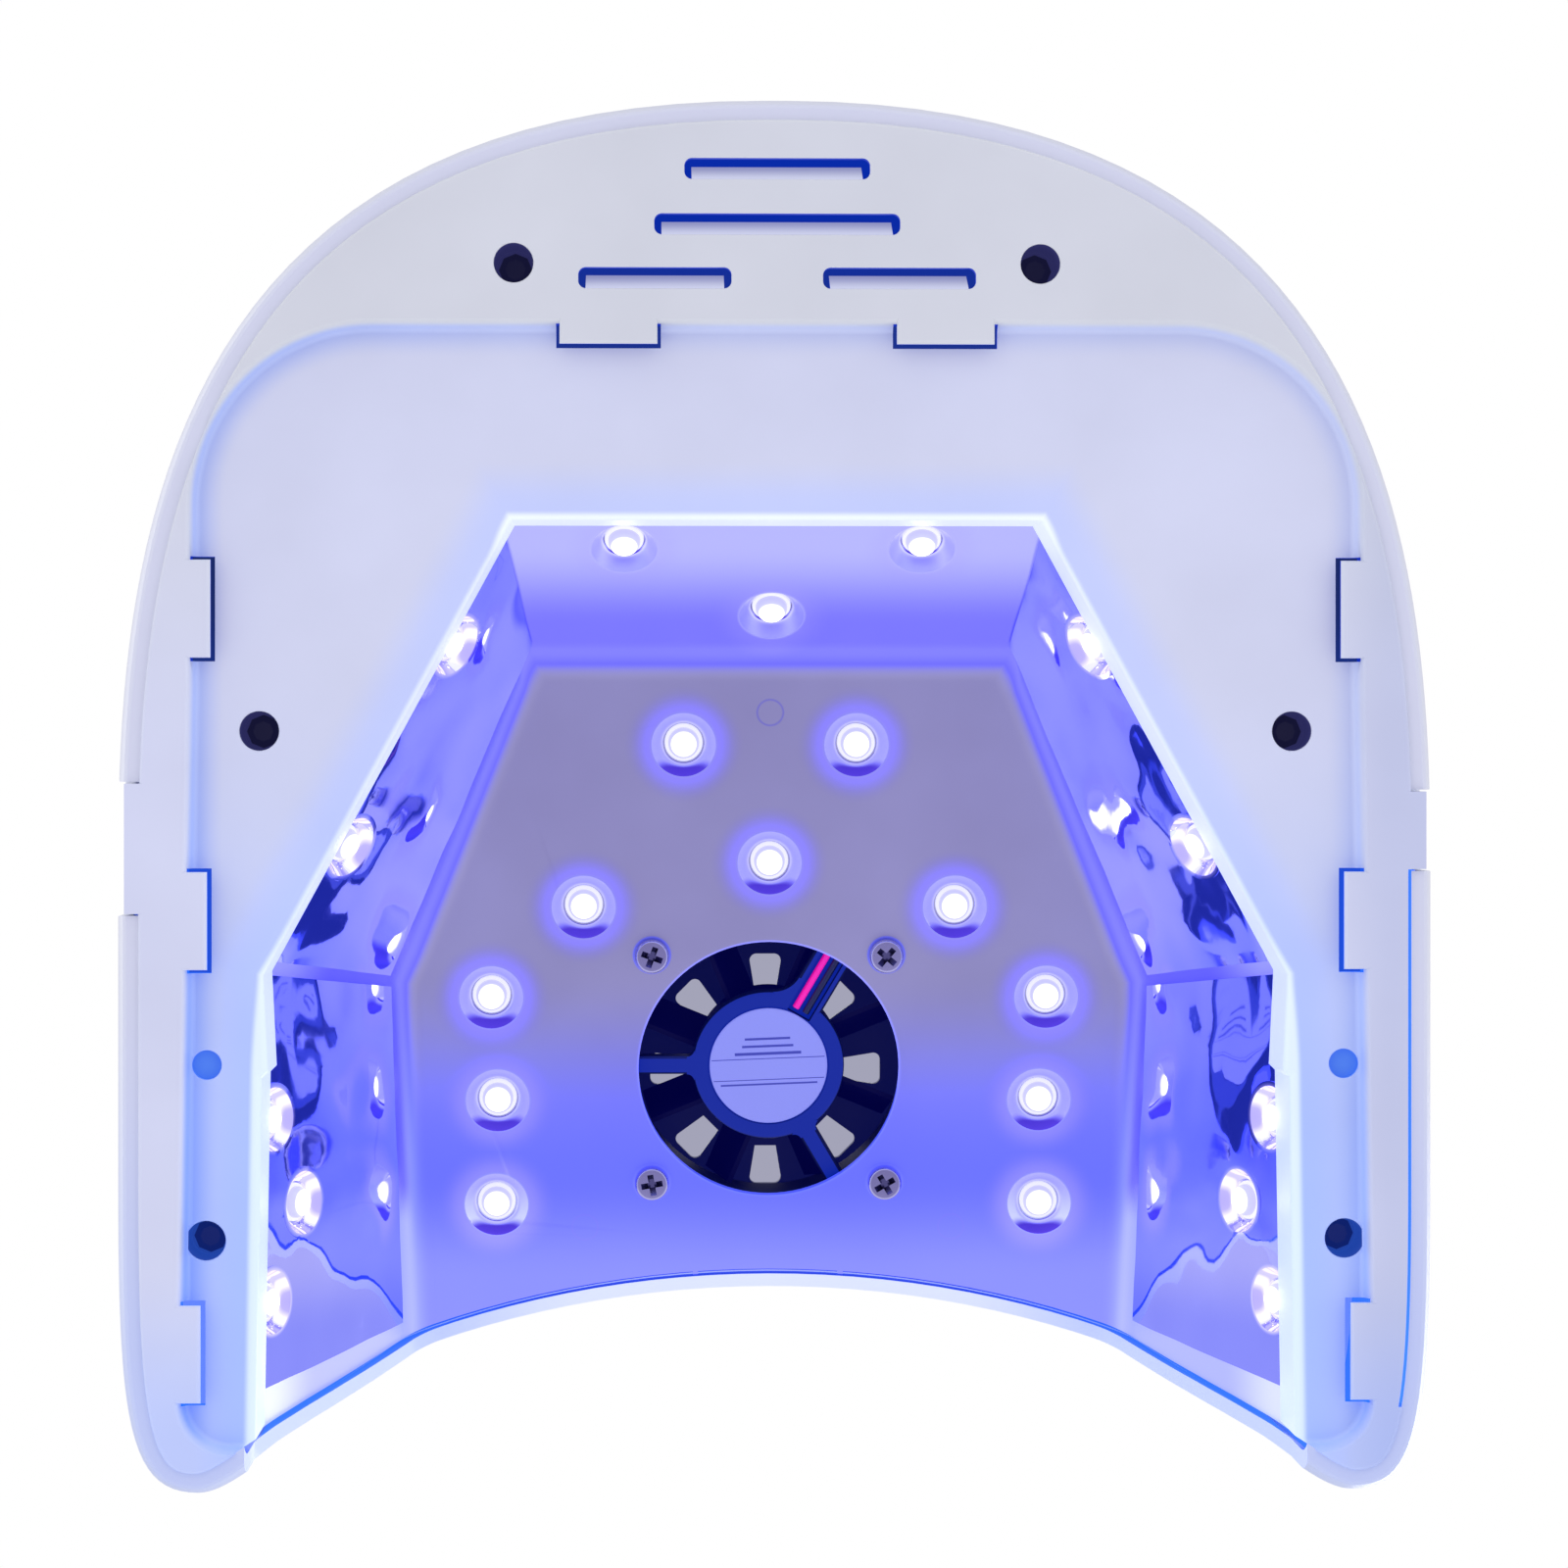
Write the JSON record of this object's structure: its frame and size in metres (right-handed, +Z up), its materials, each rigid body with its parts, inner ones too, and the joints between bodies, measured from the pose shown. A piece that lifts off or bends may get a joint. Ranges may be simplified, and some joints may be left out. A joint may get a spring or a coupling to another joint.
{
  "type": "gel nail lamp",
  "caption": "Domed desktop lamp for curing gel nails, open below and in front, with a silvered reflector of lamp beads, a ceiling fan, deck buttons and a display.",
  "frame": {"origin": "middle of the footprint, on the surface that the lamp stands on", "axes": "+X to the right as seen from the hand opening, +Y from the opening to the back, +Z up"},
  "size_m": [0.211, 0.2234, 0.0907],
  "materials": {
    "white_case": "satin white, lit violet from the lamp",
    "satin_reflector": "satin vacuum-metallised, blurred reflections",
    "polished_sheet": "polished film, slightly wavy",
    "lamp_board": "white-coated metal-core board",
    "lamp_bead": "clear dome over a violet emitter",
    "fan_plastic": "moulded, fine grain",
    "label_paper": "blank, matt",
    "steel": "plated",
    "red_lead": "insulated wire",
    "black_lead": "insulated wire",
    "button_plastic": "satin, bare",
    "smoked_window": "smoked, clear gloss",
    "display_body": "black",
    "control_board": "green solder mask"
  },
  "bodies": {
    "housing": {"lower_case": "white_case", "upper_shell": "white_case", "reflector_liner": "satin_reflector", "mirror_sheet_angled_left": "polished_sheet", "mirror_sheet_angled_right": "polished_sheet", "mirror_sheet_side_left": "polished_sheet", "mirror_sheet_side_right": "polished_sheet", "led_board_angled_left": "lamp_board", "led_board_angled_right": "lamp_board", "led_board_side_left": "lamp_board", "led_board_side_right": "lamp_board", "led_board_back": "lamp_board", "led_board_ceiling": "lamp_board", "led_ceiling_1": "lamp_bead", "led_ceiling_2": "lamp_bead", "led_ceiling_3": "lamp_bead", "led_ceiling_4": "lamp_bead", "led_ceiling_5": "lamp_bead", "led_ceiling_6": "lamp_bead", "led_ceiling_7": "lamp_bead", "led_ceiling_8": "lamp_bead", "led_ceiling_9": "lamp_bead", "led_ceiling_10": "lamp_bead", "led_ceiling_11": "lamp_bead", "led_back_1": "lamp_bead", "led_back_2": "lamp_bead", "led_back_3": "lamp_bead", "led_angled_left_1": "lamp_bead", "led_angled_left_2": "lamp_bead", "led_angled_right_1": "lamp_bead", "led_angled_right_2": "lamp_bead", "led_side_left_1": "lamp_bead", "led_side_left_2": "lamp_bead", "led_side_left_3": "lamp_bead", "led_side_right_1": "lamp_bead", "led_side_right_2": "lamp_bead", "led_side_right_3": "lamp_bead", "fan_frame": "fan_plastic", "fan_label": "label_paper", "fan_screw_1": "steel", "fan_screw_2": "steel", "fan_screw_3": "steel", "fan_screw_4": "steel", "case_screw_1": "steel", "case_screw_2": "steel", "case_screw_3": "steel", "case_screw_4": "steel", "case_screw_5": "steel", "case_screw_6": "steel", "fan_lead_red": "red_lead", "fan_lead_black": "black_lead", "display_window": "smoked_window", "display_module": "display_body", "dc_inlet": "display_body", "control_board": "control_board"},
    "rotor": {"fan_rotor": "fan_plastic"},
    "button_1": {"button_1": "button_plastic"},
    "button_2": {"button_2": "button_plastic"},
    "button_3": {"button_3": "button_plastic"},
    "button_4": {"button_4": "button_plastic"}
  },
  "joints": [
    {"name": "fan_spin", "type": "hinge", "parent": "housing", "child": "rotor", "pos_m": [0, -0.04703, 0.0599], "axis": [0, 0.1819, 0.9833], "continuous": true},
    {"name": "button_1_press", "type": "slide", "parent": "housing", "child": "button_1", "axis": [0, 0, -1], "range_m": [0, 0.0006], "stiffness_N_per_m": 1500},
    {"name": "button_2_press", "type": "slide", "parent": "housing", "child": "button_2", "axis": [0, 0, -1], "range_m": [0, 0.0006], "stiffness_N_per_m": 1500},
    {"name": "button_3_press", "type": "slide", "parent": "housing", "child": "button_3", "axis": [0, 0, -1], "range_m": [0, 0.0006], "stiffness_N_per_m": 1500},
    {"name": "button_4_press", "type": "slide", "parent": "housing", "child": "button_4", "axis": [0, 0, -1], "range_m": [0, 0.0006], "stiffness_N_per_m": 1500}
  ]
}
